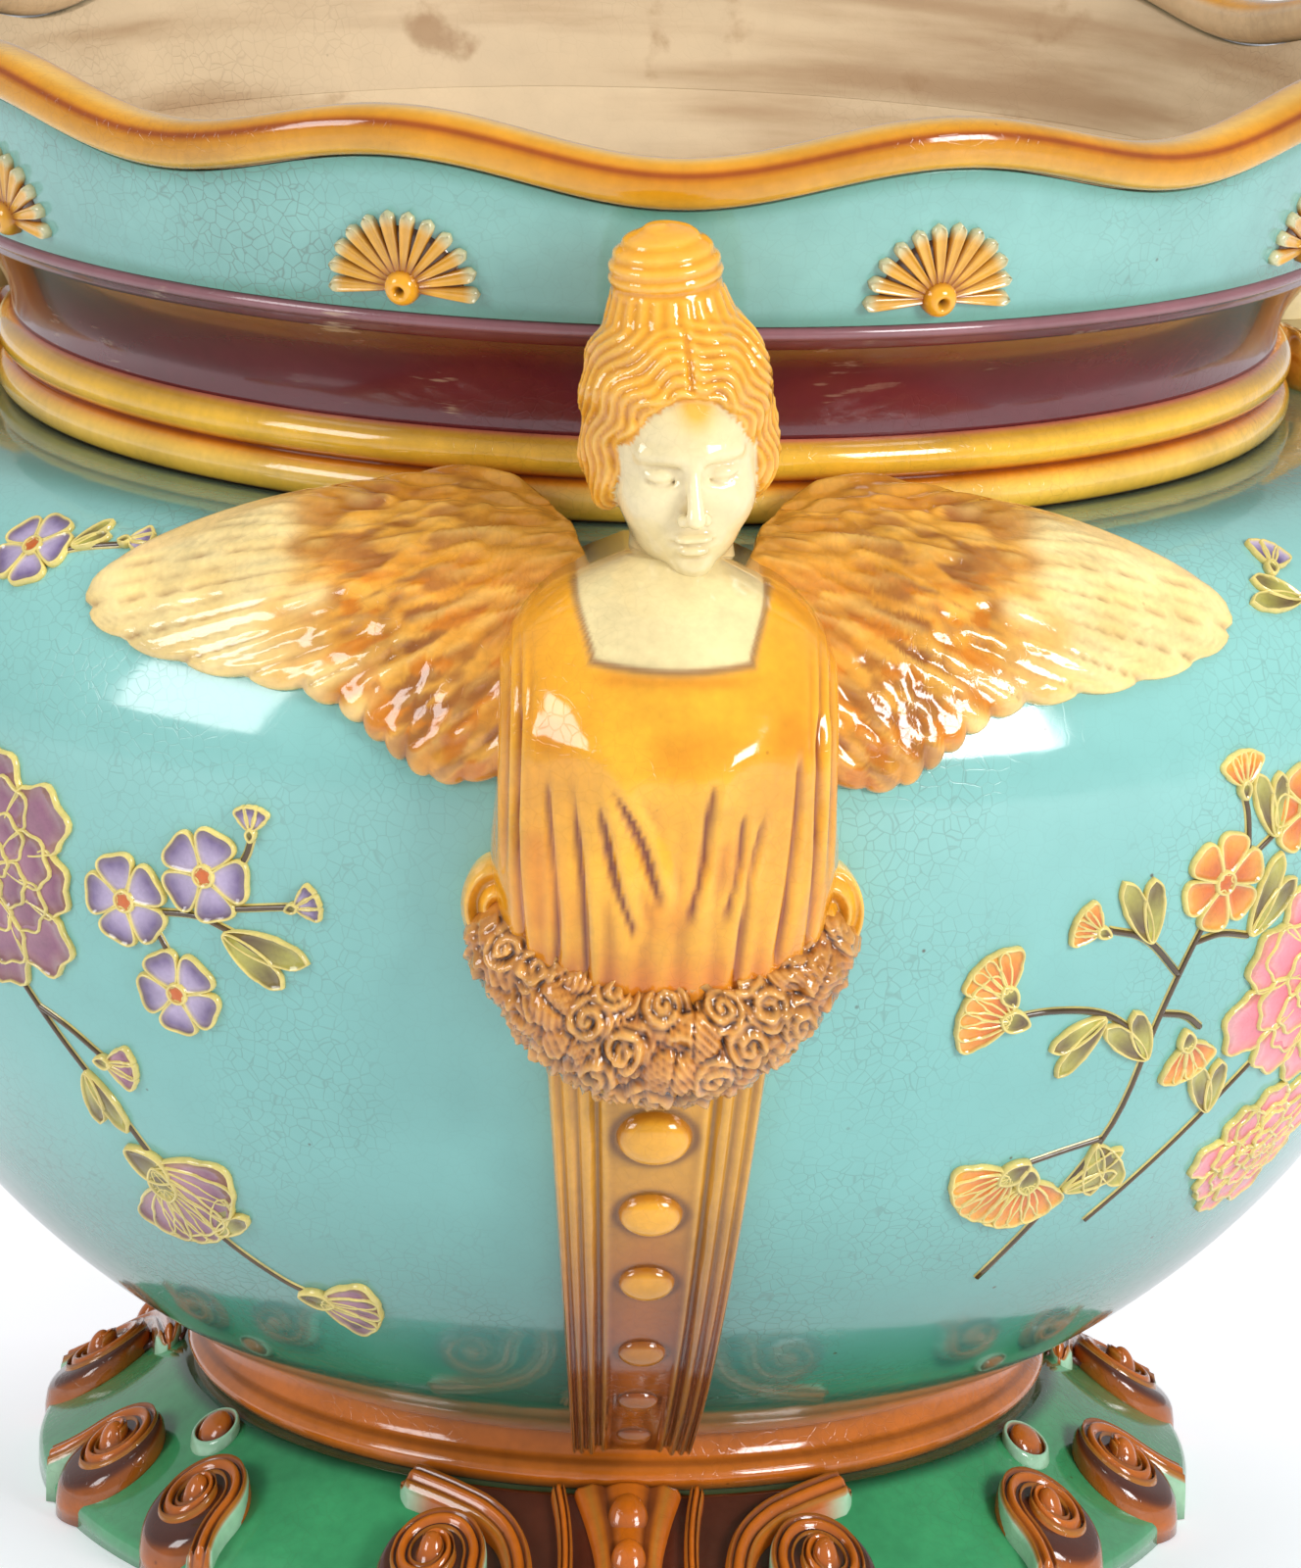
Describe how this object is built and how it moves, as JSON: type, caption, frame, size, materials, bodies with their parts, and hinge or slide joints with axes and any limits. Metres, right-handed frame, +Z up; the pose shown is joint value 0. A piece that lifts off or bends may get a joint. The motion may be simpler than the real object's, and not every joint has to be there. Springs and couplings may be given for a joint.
{
  "type": "cachepot",
  "caption": "Round-bellied glazed ceramic cachepot with a wavy flared rim, winged herm figures, applied daisies and a scrolled foot, for holding a potted plant.",
  "frame": {"origin": "on the floor under the pot's axis, in the plane of the foot", "axes": "+Z up along the pot's axis, front figure towards -Y, +X to the right seen from the front"},
  "size_m": [0.4718, 0.496, 0.4003],
  "materials": {
    "turquoise_glaze": "glossy crackled turquoise glaze",
    "amber_glaze": "glossy amber yellow glaze",
    "aubergine_glaze": "glossy aubergine glaze",
    "brown_glaze": "glossy brown glaze",
    "green_glaze": "glossy emerald green glaze",
    "figure_amber_glaze": "glossy amber glaze with brown in the hollows",
    "head_glaze": "cream glaze on the face and golden brown on the hair",
    "wing_glaze": "amber glaze that pales to cream on the flight feathers",
    "garland_glaze": "brown and amber glaze",
    "pilaster_glaze": "yellow glaze that darkens to brown at the toe"
  },
  "bodies": {
    "root": {"belly": "turquoise_glaze", "collar": "turquoise_glaze", "console_1": "brown_glaze", "console_2": "brown_glaze", "console_3": "brown_glaze", "daisy_1": "amber_glaze", "daisy_2": "amber_glaze", "daisy_3": "amber_glaze", "daisy_4": "amber_glaze", "daisy_5": "amber_glaze", "daisy_6": "amber_glaze", "daisy_7": "amber_glaze", "daisy_8": "amber_glaze", "daisy_9": "amber_glaze", "figure_1_bust": "figure_amber_glaze", "figure_1_cabochons": "pilaster_glaze", "figure_1_garland": "garland_glaze", "figure_1_head": "head_glaze", "figure_1_left_wing": "wing_glaze", "figure_1_pilaster": "pilaster_glaze", "figure_1_right_wing": "wing_glaze", "figure_2_bust": "figure_amber_glaze", "figure_2_cabochons": "pilaster_glaze", "figure_2_garland": "garland_glaze", "figure_2_head": "head_glaze", "figure_2_left_wing": "wing_glaze", "figure_2_pilaster": "pilaster_glaze", "figure_2_right_wing": "wing_glaze", "figure_3_bust": "figure_amber_glaze", "figure_3_cabochons": "pilaster_glaze", "figure_3_garland": "garland_glaze", "figure_3_head": "head_glaze", "figure_3_left_wing": "wing_glaze", "figure_3_pilaster": "pilaster_glaze", "figure_3_right_wing": "wing_glaze", "foot_1_boss": "brown_glaze", "foot_1_left_volute": "brown_glaze", "foot_1_right_volute": "brown_glaze", "foot_2_boss": "brown_glaze", "foot_2_left_volute": "brown_glaze", "foot_2_right_volute": "brown_glaze", "foot_3_boss": "brown_glaze", "foot_3_left_volute": "brown_glaze", "foot_3_right_volute": "brown_glaze", "foot_ring": "brown_glaze", "neck_band": "aubergine_glaze", "neck_bead": "amber_glaze", "plinth": "green_glaze", "rim_bead": "amber_glaze"}
  },
  "joints": []
}
